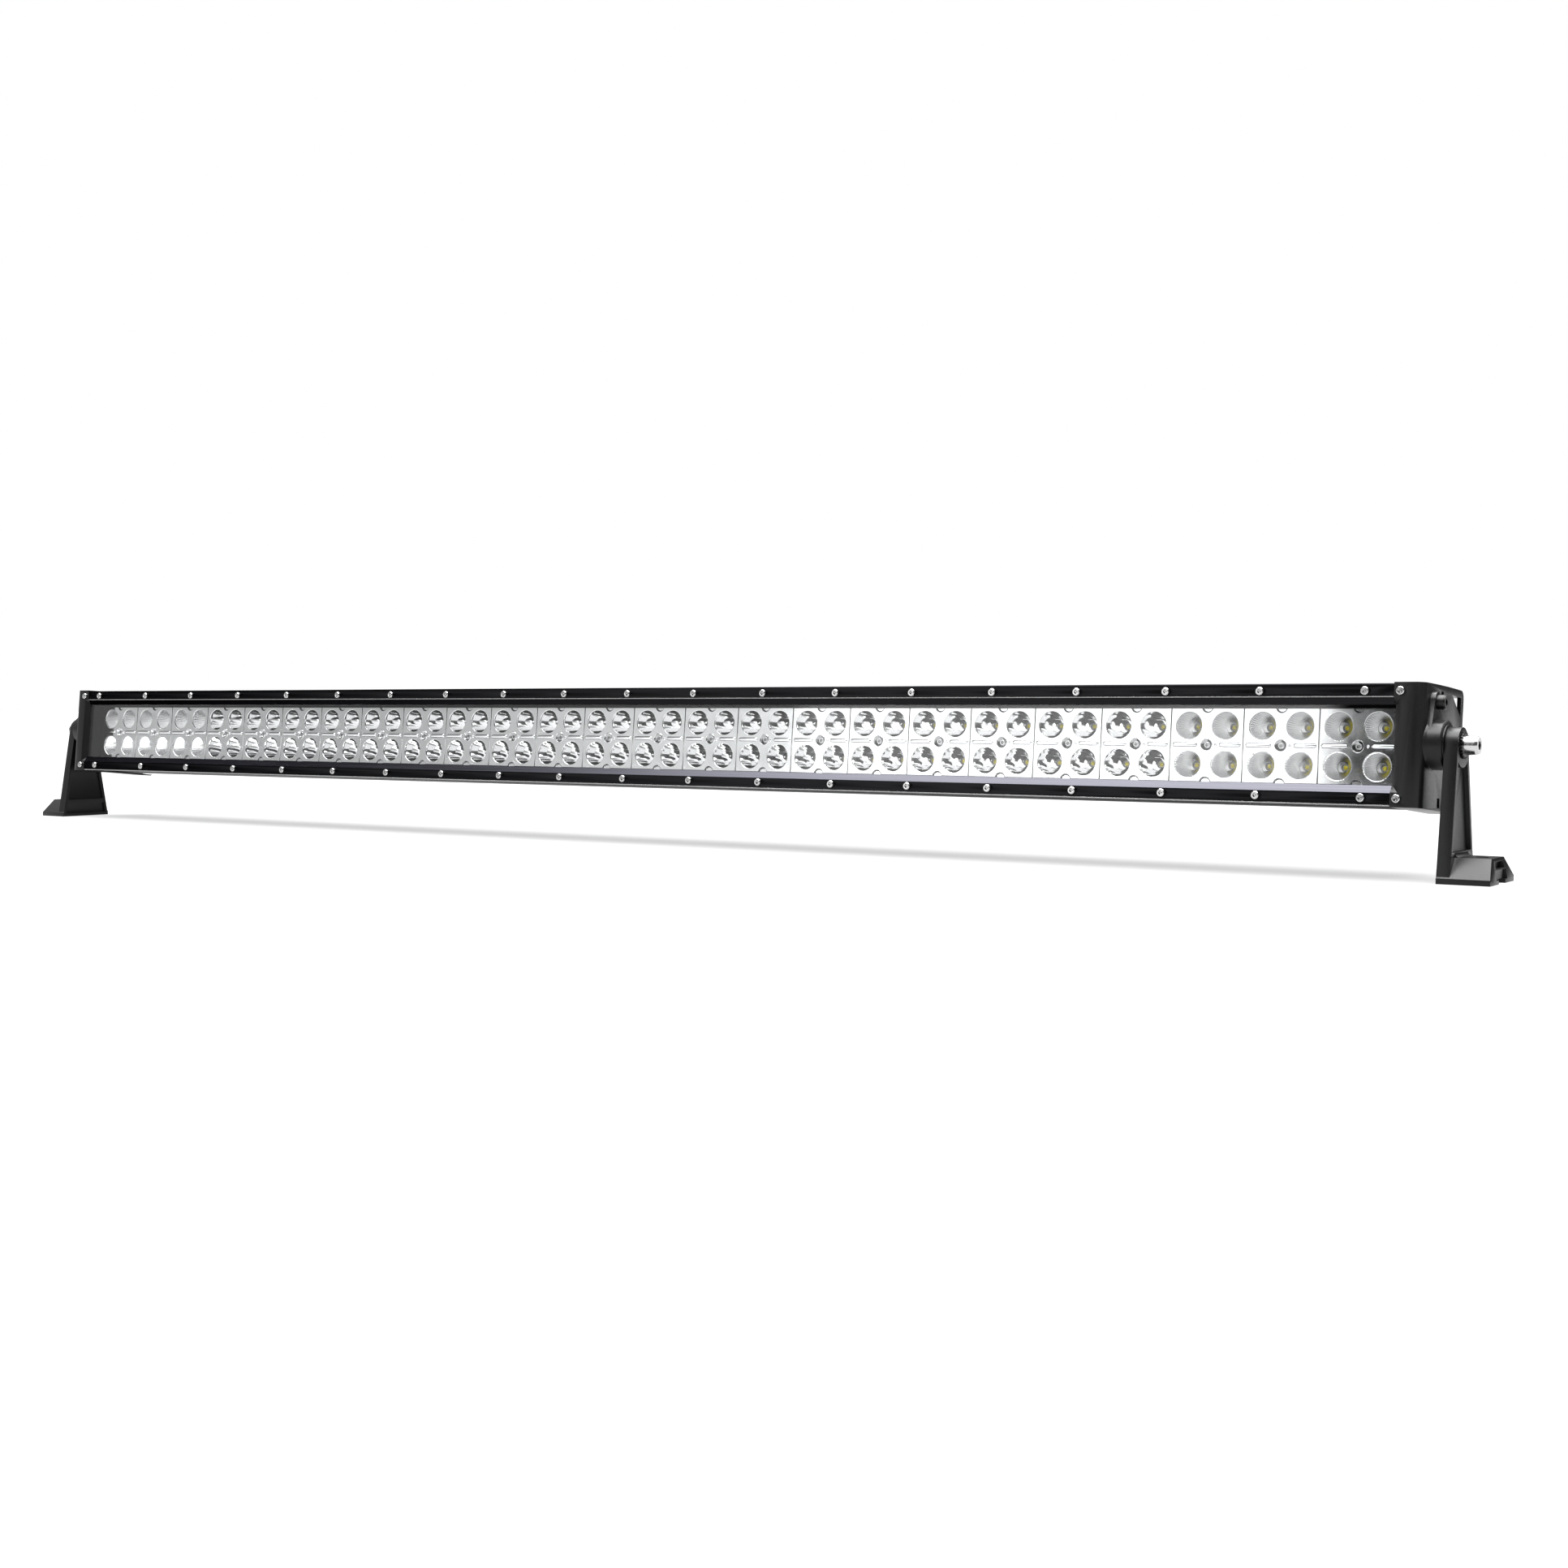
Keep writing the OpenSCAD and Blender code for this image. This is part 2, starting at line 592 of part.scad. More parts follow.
module gland_nut() color("#1a1a1b") on_head() translate([gland_x, rear_wall_y + 4.5, 0])
    rotate([-90, 0, 0]) difference() {
        rotate_extrude() polygon([
            [0, 0], [8.4, 0], [8.4, 5], [7.4, 8], [5.4, 9], [0, 9]]);
        translate([0, 0, -gap]) cylinder(h = 4.6 + gap, r = gland_thread_r + tap_clear);
        cylinder(h = 10, r = 3.9);
        for (i = [1 : 12]) rotate([0, 0, i * 30]) translate([8, -0.6, -gap]) cube([2, 1.2, 5]);
    }

module gland_locknut() color("#1a1a1b") on_head() translate([gland_x, rear_wall_y - 6, 0])
    rotate([-90, 0, 0]) difference() {
        cylinder(h = 3, r = 9, $fn = 6);
        translate([0, 0, -1]) cylinder(h = 5, r = gland_thread_r + tap_clear);
    }

module breather_vent() color("#232323") on_head() translate([vent_x, 0, 0]) {
    along_depth(0, 0, vent_thread_r, rear_wall_y - 5, rear_wall_y + gap);
    translate([0, rear_wall_y, 0]) rotate([-90, 0, 0]) {
        cylinder(h = 2.5, r = 7, $fn = 6);
        translate([0, 0, 2.5]) rotate_extrude() polygon([
            [0, 0], [6, 0], [6, 2], [5, 3], [0, 3]]);
    }
}

housing();
rail(1);  // top_rail
rail(-1);  // bottom_rail
lens();
lens_gasket();
for (i = module_numbers) reflector(i);
reflector_screws();
led_boards();
led_chips();
board_links();
rail_screws(1);  // top_rail_screws
rail_screws(-1);  // bottom_rail_screws
corner_screws();
end_cap(left);  // left_end_cap
end_cap(right);  // right_end_cap
end_gasket(left);  // left_end_gasket
end_gasket(right);  // right_end_gasket
cap_bolts(left);  // left_cap_bolts
cap_bolts(right);  // right_cap_bolts
pivot_bolt(left);  // left_pivot_bolt
pivot_bolt(right);  // right_pivot_bolt
pivot_washer(left);  // left_pivot_washer
pivot_washer(right);  // right_pivot_washer
bracket(left);  // left_bracket
bracket(right);  // right_bracket
driver_board();
driver_components();
driver_standoffs();
led_leads();
lead_grommet();
cable_gland();
gland_seal();
gland_nut();
gland_locknut();
breather_vent();
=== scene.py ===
"""Looks of the LED light bar: studio, materials, reflectors, emitters, fasteners and softened castings."""

import json
import math

import bmesh
import bpy
from mathutils import Matrix, Vector, geometry


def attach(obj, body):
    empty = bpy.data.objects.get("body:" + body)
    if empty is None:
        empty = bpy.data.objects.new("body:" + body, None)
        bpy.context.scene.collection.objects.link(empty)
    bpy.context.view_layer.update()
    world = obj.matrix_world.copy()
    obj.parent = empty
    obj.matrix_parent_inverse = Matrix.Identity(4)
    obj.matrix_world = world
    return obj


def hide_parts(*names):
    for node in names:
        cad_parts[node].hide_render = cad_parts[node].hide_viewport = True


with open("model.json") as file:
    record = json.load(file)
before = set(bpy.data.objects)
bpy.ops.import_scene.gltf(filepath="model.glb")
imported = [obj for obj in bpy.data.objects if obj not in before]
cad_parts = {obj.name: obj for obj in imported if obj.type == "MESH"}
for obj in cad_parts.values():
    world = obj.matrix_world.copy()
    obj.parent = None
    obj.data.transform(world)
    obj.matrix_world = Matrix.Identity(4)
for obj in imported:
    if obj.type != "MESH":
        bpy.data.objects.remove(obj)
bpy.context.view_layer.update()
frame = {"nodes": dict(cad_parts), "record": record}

MM = 0.001
SCENE = bpy.context.scene

# The head's own frame: x along the bar, y as depth behind the rails' front plane, z up from the bar's middle.
HEAD_TILT = math.radians(5.5)
PIVOT = Vector((0, 0, 0.0825))
PIVOT_IN_HEAD = Vector((0, 0.020, 0.0015))
HEAD = (
    Matrix.Translation(PIVOT)
    @ Matrix.Rotation(-HEAD_TILT, 4, "X")
    @ Matrix.Translation(-PIVOT_IN_HEAD)
)

MODULES = 25
MODULE_PITCH = 50.0
FLOOD_AT_EACH_END = 3
REFLECTOR_DEPTH = 19.0
CUP_OFFSET = MODULE_PITCH / 4


# ---- Camera ----
def add_camera():
    data = bpy.data.cameras.new("camera")
    data.sensor_width = 36
    data.lens = 47.04
    data.clip_end = 100
    camera = bpy.data.objects.new("camera", data)
    camera.location = (1.0276, -1.2509, 0.1066)
    camera.rotation_euler = (math.radians(87.805), 0, math.radians(34.55))
    SCENE.collection.objects.link(camera)
    SCENE.camera = camera


# ---- Node helpers ----
class Nodes:
    """A node tree with short calls for the nodes that the materials share."""

    def __init__(self, tree):
        self.tree = tree
        tree.nodes.clear()

    def add(self, kind, **settings):
        node = self.tree.nodes.new(kind)
        for name, value in settings.items():
            setattr(node, name, value)
        return node

    def link(self, source, target):
        self.tree.links.new(source, target)

    def math(self, operation, *values):
        node = self.add("ShaderNodeMath", operation=operation)
        for socket, value in zip(node.inputs, values):
            self.feed(socket, value)
        return node.outputs[0]

    def feed(self, socket, value):
        """Links a node's output to a socket, or sets the socket to a plain value."""
        if isinstance(value, bpy.types.NodeSocket):
            self.link(value, socket)
        else:
            socket.default_value = value

    def ramp(self, value, low, high, to_low=0.0, to_high=1.0):
        """A smooth step of value between low and high."""
        node = self.add("ShaderNodeMapRange", interpolation_type="SMOOTHSTEP")
        for name, number in (("From Min", low), ("From Max", high), ("To Min", to_low), ("To Max", to_high)):
            node.inputs[name].default_value = number
        self.feed(node.inputs["Value"], value)
        return node.outputs["Result"]

    def mix(self, share, a, b):
        node = self.add("ShaderNodeMix", data_type="RGBA")
        self.feed(node.inputs["Factor"], share)
        for name, value in (("A", a), ("B", b)):
            socket = [s for s in node.inputs if s.name == name and s.type == "RGBA"][0]
            self.feed(socket, value)
        return [s for s in node.outputs if s.type == "RGBA"][0]

    def coords(self, stretch=(1, 1, 1)):
        place = self.add("ShaderNodeTexCoord")
        mapping = self.add("ShaderNodeMapping")
        mapping.inputs["Scale"].default_value = stretch
        self.link(place.outputs["Object"], mapping.inputs["Vector"])
        return mapping.outputs["Vector"]

    def noise(self, scale, detail=3.0, stretch=(1, 1, 1), rough=0.55):
        node = self.add("ShaderNodeTexNoise")
        node.inputs["Scale"].default_value = scale
        node.inputs["Detail"].default_value = detail
        node.inputs["Roughness"].default_value = rough
        self.link(self.coords(stretch), node.inputs["Vector"])
        return node.outputs["Fac"]

    def bump(self, height, strength, distance):
        node = self.add("ShaderNodeBump")
        node.inputs["Strength"].default_value = strength
        node.inputs["Distance"].default_value = distance
        self.link(height, node.inputs["Height"])
        return node.outputs["Normal"]


def principled(name, **sockets):
    """A material with one Principled shader, and its Nodes, ready for textures."""
    material = bpy.data.materials.new(name)
    material.use_nodes = True
    n = Nodes(material.node_tree)
    shader = n.add("ShaderNodeBsdfPrincipled")
    output = n.add("ShaderNodeOutputMaterial")
    n.link(shader.outputs["BSDF"], output.inputs["Surface"])
    for socket, value in sockets.items():
        shader.inputs[socket.replace("_", " ")].default_value = value
    return material, n, shader.inputs


def grey(value):
    return (value, value, value, 1.0)


# ---- Materials ----
RAIL_TONES = ((0.012, 0.012, 0.013), (0.018, 0.018, 0.0195))
HOUSING_TONES = ((0.036, 0.036, 0.040), (0.050, 0.050, 0.0555))
# A lighter tone for faces that slope upward: a painted reflection, faded in between these two heights of the
# face's normal.
PAINTED_SHEEN_TONE = (0.044, 0.044, 0.051)
PAINTED_SHEEN_STARTS, PAINTED_SHEEN_FULL = 0.48, 0.58


def anodised(name, dark, light, painted_sheen=None):
    """Dark sealed anodising drawn out along the extrusion; faces that slope upward get a lighter tone, a
    painted reflection of the light above.
    """
    material, n, s = principled(name, Metallic=1.0, Specular_Tint=grey(0.1))
    drawn = n.noise(1.0, 4, stretch=(6, 2600, 2600))
    cloud = n.noise(9.0, 3)
    base = n.mix(cloud, (*dark, 1), (*light, 1))
    # Painted reflection: the base turns lighter where the object-space normal points upward.
    if painted_sheen:
        place = n.add("ShaderNodeTexCoord")
        split = n.add("ShaderNodeSeparateXYZ")
        n.link(place.outputs["Normal"], split.inputs[0])
        base = n.mix(n.ramp(split.outputs[2], PAINTED_SHEEN_STARTS, PAINTED_SHEEN_FULL), base, (*painted_sheen, 1))
    n.link(base, s["Base Color"])
    n.link(n.ramp(drawn, 0.3, 0.7, 0.24, 0.34), s["Roughness"])
    n.link(n.bump(drawn, 0.10, 0.00005), s["Normal"])
    return material


def black_powder_coat():
    """Fine-textured black powder coat on the castings."""
    material, n, s = principled("black_powder_coat", Metallic=0.0, Specular_IOR_Level=0.27)
    grain = n.noise(1500.0, 2, rough=0.4)
    cloud = n.noise(14.0, 3)
    n.link(n.mix(cloud, (0.003, 0.003, 0.0033, 1), (0.005, 0.005, 0.0054, 1)), s["Base Color"])
    n.link(n.ramp(grain, 0.3, 0.7, 0.28, 0.38), s["Roughness"])
    n.link(n.bump(grain, 0.30, 0.0001), s["Normal"])
    return material


def clear_lens():
    """Clear polycarbonate, with nothing but its own gloss and refraction."""
    tint = (0.985, 0.995, 1.0, 1)
    return principled("clear_lens", Base_Color=tint, Transmission_Weight=1.0, IOR=1.49, Roughness=0.0)[0]


def mirror_coating():
    """Vacuum-metallised plastic with a faint ripple."""
    material, n, s = principled("mirror_coating", Metallic=1.0)
    ripple = n.noise(70.0, 2)
    tone = n.noise(22.0, 2)
    n.link(n.mix(tone, grey(0.86), grey(0.93)), s["Base Color"])
    n.link(n.ramp(tone, 0.3, 0.7, 0.05, 0.09), s["Roughness"])
    n.link(n.bump(ripple, 0.15, 0.0001), s["Normal"])
    return material


def bright_steel():
    """Finely scratched stainless steel."""
    material, n, s = principled("bright_steel", Metallic=1.0)
    scratch = n.noise(900.0, 3)
    n.link(n.mix(scratch, grey(0.46), grey(0.60)), s["Base Color"])
    n.link(n.ramp(scratch, 0.3, 0.7, 0.12, 0.22), s["Roughness"])
    n.link(n.bump(scratch, 0.08, 0.00005), s["Normal"])
    return material


def black_oxide():
    """Blackened steel with a cloudy sheen."""
    material, n, s = principled("black_oxide", Metallic=1.0)
    bloom = n.noise(500.0, 3)
    n.link(n.mix(bloom, grey(0.018), grey(0.04)), s["Base Color"])
    n.link(n.ramp(bloom, 0.3, 0.7, 0.28, 0.42), s["Roughness"])
    return material


def plain(name, dark, light, roughness, scale=300.0, bump=0.1, **sockets):
    """A moulded or painted finish: two close colours, a grained roughness and a fine bump."""
    material, n, s = principled(name, **sockets)
    grain = n.noise(scale, 3)
    n.link(n.mix(grain, (*dark, 1), (*light, 1)), s["Base Color"])
    n.link(n.ramp(grain, 0.3, 0.7, roughness - 0.06, roughness + 0.06), s["Roughness"])
    n.link(n.bump(grain, bump, 0.00008), s["Normal"])
    return material


def all_materials():
    """Materials by slot or node name; the last two are for pieces made here: the bright metal of the rails'
    painted highlight strips, and the LED ceramic.
    """
    return {
        "black_anodised": anodised("black_anodised", *RAIL_TONES),
        # The bottom rail's upward-sloping faces carry a painted reflection.
        "bottom_rail": anodised("anodised_painted_sheen", *RAIL_TONES, painted_sheen=PAINTED_SHEEN_TONE),
        "housing": anodised("housing_anodised", *HOUSING_TONES),
        "black_powder_coat": black_powder_coat(),
        "clear_lens": clear_lens(),
        "metallised_reflector": mirror_coating(),
        "stainless": bright_steel(),
        "black_oxide_steel": black_oxide(),
        "white_board": plain("white_board", (0.72, 0.72, 0.68), (0.82, 0.82, 0.78), 0.42),
        "led_emitter": plain(
            "led_phosphor", (0.80, 0.66, 0.03), (0.92, 0.80, 0.06), 0.35, Coat_Weight=0.4, Coat_Roughness=0.05
        ),
        "green_board": plain("green_board", (0.01, 0.10, 0.03), (0.02, 0.16, 0.05), 0.35),
        "component_plastic": plain("component_plastic", (0.02, 0.02, 0.022), (0.04, 0.04, 0.045), 0.4),
        "brass": plain("brass", (0.62, 0.45, 0.16), (0.78, 0.60, 0.26), 0.28, Metallic=1.0),
        "seal_rubber": plain("seal_rubber", (0.012, 0.012, 0.012), (0.022, 0.022, 0.022), 0.7, 800.0, 0.3),
        "wire_insulation": plain("wire_insulation", (0.42, 0.02, 0.012), (0.52, 0.035, 0.02), 0.4),
        "black_nylon": plain("black_nylon", (0.014, 0.014, 0.015), (0.024, 0.024, 0.025), 0.5, 900.0, 0.2),
        # Painted highlight: a bright metal tone for the strips that stand in for light caught on the rails'
        # chamfers.
        "painted_highlight_edge": plain("painted_highlight_edge", (0.30, 0.30, 0.30), (0.42, 0.42, 0.42), 0.3, 900.0, Metallic=1.0),
        "led_ceramic": plain("led_ceramic", (0.74, 0.72, 0.66), (0.84, 0.82, 0.76), 0.4),
    }


# ---- Mesh helpers ----
def mesh_object(name, bm, materials, place=None):
    """A linked object made from a bmesh, which is freed."""
    mesh = bpy.data.meshes.new(name)
    bm.to_mesh(mesh)
    bm.free()
    for material in materials:
        mesh.materials.append(material)
    piece = bpy.data.objects.new(name, mesh)
    SCENE.collection.objects.link(piece)
    piece.matrix_world = place if place is not None else Matrix.Identity(4)
    return piece


def ring(bm, points):
    return [bm.verts.new(p) for p in points]


def bridge(bm, a, b, smooth=True, closed=True, material=0):
    """Quads between two loops with the same number of points."""
    count = len(a)
    for i in range(count if closed else count - 1):
        j = (i + 1) % count
        face = bm.faces.new((a[i], a[j], b[j], b[i]))
        face.smooth = smooth
        face.material_index = material


def inside(point, loop):
    """Even-odd test of a 2D point in a closed 2D loop."""
    x, y = point
    hit = False
    for (x0, y0), (x1, y1) in zip(loop, loop[1:] + loop[:1]):
        if (y0 > y) != (y1 > y) and x < (x1 - x0) * (y - y0) / (y1 - y0) + x0:
            hit = not hit
    return hit


def plate_faces(bm, outer, holes, depth):
    """A flat plate at one depth between an outer loop and hole loops; returns each loop's vertices."""
    loops = [outer] + holes
    points, edges, starts = [], [], []
    for loop in loops:
        start = len(points)
        starts.append(start)
        points += [Vector(p) for p in loop]
        edges += [(start + i, start + (i + 1) % len(loop)) for i in range(len(loop))]
    found = geometry.delaunay_2d_cdt(points, edges, [], 0, 1e-7)
    verts = [bm.verts.new((p.x, depth, p.y)) for p in found[0]]
    home = {source: new for new, sources in enumerate(found[3]) for source in sources}
    for face in found[2]:
        centre = sum((found[0][i] for i in face), Vector((0, 0))) / len(face)
        if inside(centre, outer) and not any(inside(centre, hole) for hole in holes):
            bm.faces.new([verts[i] for i in face])
    return [[verts[home[start + i]] for i in range(len(loop))] for start, loop in zip(starts, loops)]


def turns(count):
    return [i * math.tau / count for i in range(count)]


def circle(cx, cz, radius, count):
    return [(cx + radius * math.cos(a), cz + radius * math.sin(a)) for a in turns(count)]


def to_metres(bm):
    """Turns the faces outward and a mesh drawn in millimetres into metres."""
    bmesh.ops.recalc_face_normals(bm, faces=bm.faces[:])
    bmesh.ops.scale(bm, vec=(MM, MM, MM), verts=bm.verts[:])


def finish_head_piece(bm, name, materials, node=None):
    """A piece on the head from a mesh drawn in its frame, standing for a CAD node if one is given."""
    to_metres(bm)
    piece = mesh_object(name, bm, materials, HEAD)
    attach(piece, "head")
    if node:
        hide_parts(node)


def module_x(index):
    """The middle of module 0 to 24 along the bar, in millimetres."""
    return (index - (MODULES - 1) / 2) * MODULE_PITCH


# ---- Reflector modules ----
CUP_MOUTH, CUP_FLOOR, CUP_DEPTH = 9.0, 2.6, 14.4
HALF_W, HALF_H = 24.9, 24.0
FACE_INSET = 0.35
# Each step is a pair: an inset, a radius, a shrinkage or a growth, and then a depth below the module's face.
SKIRT_STEPS = ((0.1, 0.08), (0.0, 0.35), (0.0, 3.0))
NOTCH_R, NOTCH_UP, NOTCH_POINTS = 3.7, 0.6, 20
NOTCH_STEPS = ((NOTCH_R, 0.0), (NOTCH_R - 0.15, 0.9), (NOTCH_R - 0.75, 1.0))
RIB_R, ARC_STEPS = 1.5, 8
RIB_SPANS = ((-23.6, -6.2), (8.4, 23.6))
RIB_STEPS = ((0.25, -0.35), (0.6, -0.62), (1.1, -0.75))
RECESS_R, RECESS_RIM, RECESS_DEPTH, RECESS_POINTS = 3.65, 0.5, 2.5, 40
SCREW_HOLE_R, SCREW_HOLE_DEPTH = 1.35, 6.0
RECESS_STEPS = (
    (RECESS_R + 0.35, -0.3),
    (RECESS_R + 0.1, -0.32),
    (RECESS_R, -0.1),
    (RECESS_R, RECESS_DEPTH),
    (SCREW_HOLE_R, RECESS_DEPTH),
    (SCREW_HOLE_R, SCREW_HOLE_DEPTH),
)
DIMPLE_X, DIMPLE_R, DIMPLE_POINTS = 6.3, 1.2, 20
DIMPLE_STEPS = ((1.0, 0.25), (0.6, 0.55))
RIM_STEPS = ((0.45, 0.0), (0.12, 0.1), (0.0, 0.4))
FLOOD_POWER = 0.72
FLUTES, FLUTE_STEPS, FLUTE_BULGE = 36, 4, 0.26
RINGS, RING_STEPS, RING_BULGE = 8, 3, 0.05
SPOT_POINTS, SPOT_RINGS = 96, 14
FLOOD_SPACING, SPOT_SPACING = 1.15, 1.1


def cup_radius(depth, power=0.5):
    """A cup's radius at a depth below the face: a parabola at power 0.5, straighter at a higher one."""
    return CUP_FLOOR + (CUP_MOUTH - CUP_FLOOR) * max(0.0, 1 - depth / CUP_DEPTH) ** power


def pillow(u):
    """A bulge that is 0 at both ends of 0 to 1, and 1 in the middle."""
    return 1 - (2 * u - 1) ** 2


def flood_radius(angle_step, depth, ring_share):
    """A flood cup's radius, with facets that bulge inward between the flutes' grooves."""
    flute = pillow((angle_step % FLUTE_STEPS) / FLUTE_STEPS)
    radius = cup_radius(depth, FLOOD_POWER)
    return radius - (FLUTE_BULGE * flute + RING_BULGE * pillow(ring_share)) * radius / CUP_MOUTH


def cup_loops(cx, cz, flood):
    """Loops of 3D points from the rim in the module's face down to one cup's floor."""
    angles = turns(FLUTES * FLUTE_STEPS if flood else SPOT_POINTS)

    def loop(radius_at, depth):
        return [
            (cx + radius_at(i) * math.cos(a), REFLECTOR_DEPTH + depth, cz + radius_at(i) * math.sin(a))
            for i, a in enumerate(angles)
        ]

    loops = []
    for out, depth in RIM_STEPS:
        if flood:
            loops.append(loop(lambda i: flood_radius(i, 0, 0) + out, depth))
        else:
            loops.append(loop(lambda i: CUP_MOUTH + out, depth))
    first = RIM_STEPS[-1][1]
    if flood:
        for ring_number in range(RINGS):
            for step in range(RING_STEPS):
                share = (step + 1) / RING_STEPS
                depth = first + (CUP_DEPTH - first) * ((ring_number + share) / RINGS) ** FLOOD_SPACING
                loops.append(loop(lambda i: flood_radius(i, depth, share), depth))
    else:
        for k in range(1, SPOT_RINGS + 1):
            depth = first + (CUP_DEPTH - first) * (k / SPOT_RINGS) ** SPOT_SPACING
            loops.append(loop(lambda i: cup_radius(depth), depth))
    return loops


def sharpen_flutes(bm, verts_by_loop):
    """Sharp creases along the flutes' grooves and between the rings of facets."""
    for level, loop in enumerate(verts_by_loop[:-1]):
        below = verts_by_loop[level + 1]
        for i in range(0, len(loop), FLUTE_STEPS):
            edge = bm.edges.get((loop[i], below[i]))
            if edge:
                edge.smooth = False
    for level in range(len(RIM_STEPS) - 1, len(verts_by_loop), RING_STEPS):
        loop = verts_by_loop[level]
        for i in range(len(loop)):
            edge = bm.edges.get((loop[i], loop[(i + 1) % len(loop)]))
            if edge:
                edge.smooth = False


def notch_arc(radius, height):
    """The part of a notch's circle that lies more than height from its centre, toward the module."""
    reach = math.asin(height / radius)
    angles = [reach + (math.pi - 2 * reach) * i / NOTCH_POINTS for i in range(NOTCH_POINTS + 1)]
    return [(radius * math.cos(a), HALF_H + NOTCH_UP - radius * math.sin(a)) for a in angles]


def module_outline(inset):
    """The module's face outline with its two half-round notches, moved in by inset."""
    w, h, r = HALF_W - inset, HALF_H - inset, NOTCH_R + inset
    top = notch_arc(r, HALF_H + NOTCH_UP - h)
    bottom = [(-x, -z) for x, z in top]
    return [(w, -h), (w, 0), (w, h), *top, (-w, h), (-w, 0), (-w, -h), *bottom]


def notch_pad(bm, up):
    """The shallow half-round step at the middle of a module's top or bottom edge."""
    rim = None
    for radius, depth in NOTCH_STEPS:
        points = [(x, up * z) for x, z in notch_arc(radius, NOTCH_UP)]
        arc = ring(bm, lay(points, depth))
        if rim:
            bridge(bm, rim, arc, smooth=False, closed=False)
        rim = arc
    bm.faces.new(rim)


def arc_angles(start, end):
    """Angles in radians along an arc between two angles in degrees."""
    return [math.radians(start + (end - start) * i / ARC_STEPS) for i in range(ARC_STEPS + 1)]


def stadium(x0, x1, radius):
    """A slot outline along x on the module's middle line."""
    right = [(x1 - radius + radius * math.cos(a), radius * math.sin(a)) for a in arc_angles(-90, 90)]
    left = [(x0 + radius + radius * math.cos(a), radius * math.sin(a)) for a in arc_angles(90, 270)]
    return right + left


def lay(loop, depth):
    """Puts a 2D outline at a depth below the module's face."""
    return [(x, REFLECTOR_DEPTH + depth, z) for x, z in loop]


def skirt(bm, edge):
    for inset, depth in SKIRT_STEPS:
        below = ring(bm, lay(module_outline(inset), depth))
        bridge(bm, edge, below)
        edge = below


def cup_wall(bm, cup, rim, flood):
    levels = [rim]
    for points in cup[1:]:
        levels.append(ring(bm, points))
        bridge(bm, levels[-2], levels[-1])
    if flood:
        sharpen_flutes(bm, levels)


def rib_crown(bm, rib, rim):
    """The raised, rounded top of one middle rib."""
    middle = sum(x for x, _ in rib) / len(rib)
    length = max(x for x, _ in rib) - middle
    for shrink, rise in RIB_STEPS:
        along = (length - shrink) / length
        across = (RIB_R - shrink) / RIB_R
        above = ring(bm, lay([(middle + (x - middle) * along, z * across) for x, z in rib], rise))
        bridge(bm, rim, above)
        rim = above
    bm.faces.new(rim).smooth = True


def round_steps(bm, rim, x, steps, count):
    """Walls through round steps of (radius, depth) around a middle-line point; returns the last loop."""
    for radius, depth in steps:
        below = ring(bm, lay(circle(x, 0, radius, count), depth))
        bridge(bm, rim, below)
        rim = below
    return rim


def reflector_mesh(flood):
    """One module: face, four cups, screw recess, middle ribs, dimple, notches and skirt."""
    bm = bmesh.new()
    cups = [cup_loops(x, z, flood) for x in (-CUP_OFFSET, CUP_OFFSET) for z in (-CUP_OFFSET, CUP_OFFSET)]
    ribs = [stadium(x0, x1, RIB_R) for x0, x1 in RIB_SPANS]
    recess = circle(0, 0, RECESS_R + RECESS_RIM, RECESS_POINTS)
    dimple = circle(DIMPLE_X, 0, DIMPLE_R, DIMPLE_POINTS)
    holes = [[(x, z) for x, _, z in cup[0]] for cup in cups] + ribs + [recess, dimple]
    loops = plate_faces(bm, module_outline(FACE_INSET), holes, REFLECTOR_DEPTH)
    edge, cup_rims, rib_rims, recess_rim, dimple_rim = loops[0], loops[1:5], loops[5:7], loops[7], loops[8]
    skirt(bm, edge)
    for up in (-1, 1):
        notch_pad(bm, up)
    for cup, rim in zip(cups, cup_rims):
        cup_wall(bm, cup, rim, flood)
    for rib, rim in zip(ribs, rib_rims):
        rib_crown(bm, rib, rim)
    round_steps(bm, recess_rim, 0, RECESS_STEPS, RECESS_POINTS)
    floor = round_steps(bm, dimple_rim, DIMPLE_X, DIMPLE_STEPS, DIMPLE_POINTS)
    bm.faces.new(floor).smooth = True
    to_metres(bm)
    return bm


def add_reflectors(materials):
    """Twenty-five modules: three flood modules at each end and spot modules between."""
    meshes = {}
    for flood in (False, True):
        name = "flood_module" if flood else "spot_module"
        mesh = bpy.data.meshes.new(name)
        bm = reflector_mesh(flood)
        bm.to_mesh(mesh)
        bm.free()
        mesh.materials.append(materials["metallised_reflector"])
        meshes[flood] = mesh
    for i in range(1, MODULES + 1):
        flood = i <= FLOOD_AT_EACH_END or i > MODULES - FLOOD_AT_EACH_END
        piece = bpy.data.objects.new(f"reflector_detail_{i:02d}", meshes[flood])
        SCENE.collection.objects.link(piece)
        piece.matrix_world = HEAD @ Matrix.Translation((module_x(i - 1) * MM, 0, 0))
        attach(piece, "head")
        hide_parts(f"reflector_{i:02d}")


# ---- Emitters ----
BOARD_DEPTH = 35.4
CHIP_HALF, CHIP_T, CHIP_CHAMFER = 1.75, 0.7, 0.12
DOME_R, DOME_H, DOME_RINGS, DOME_POINTS = 1.5, 0.9, 6, 20


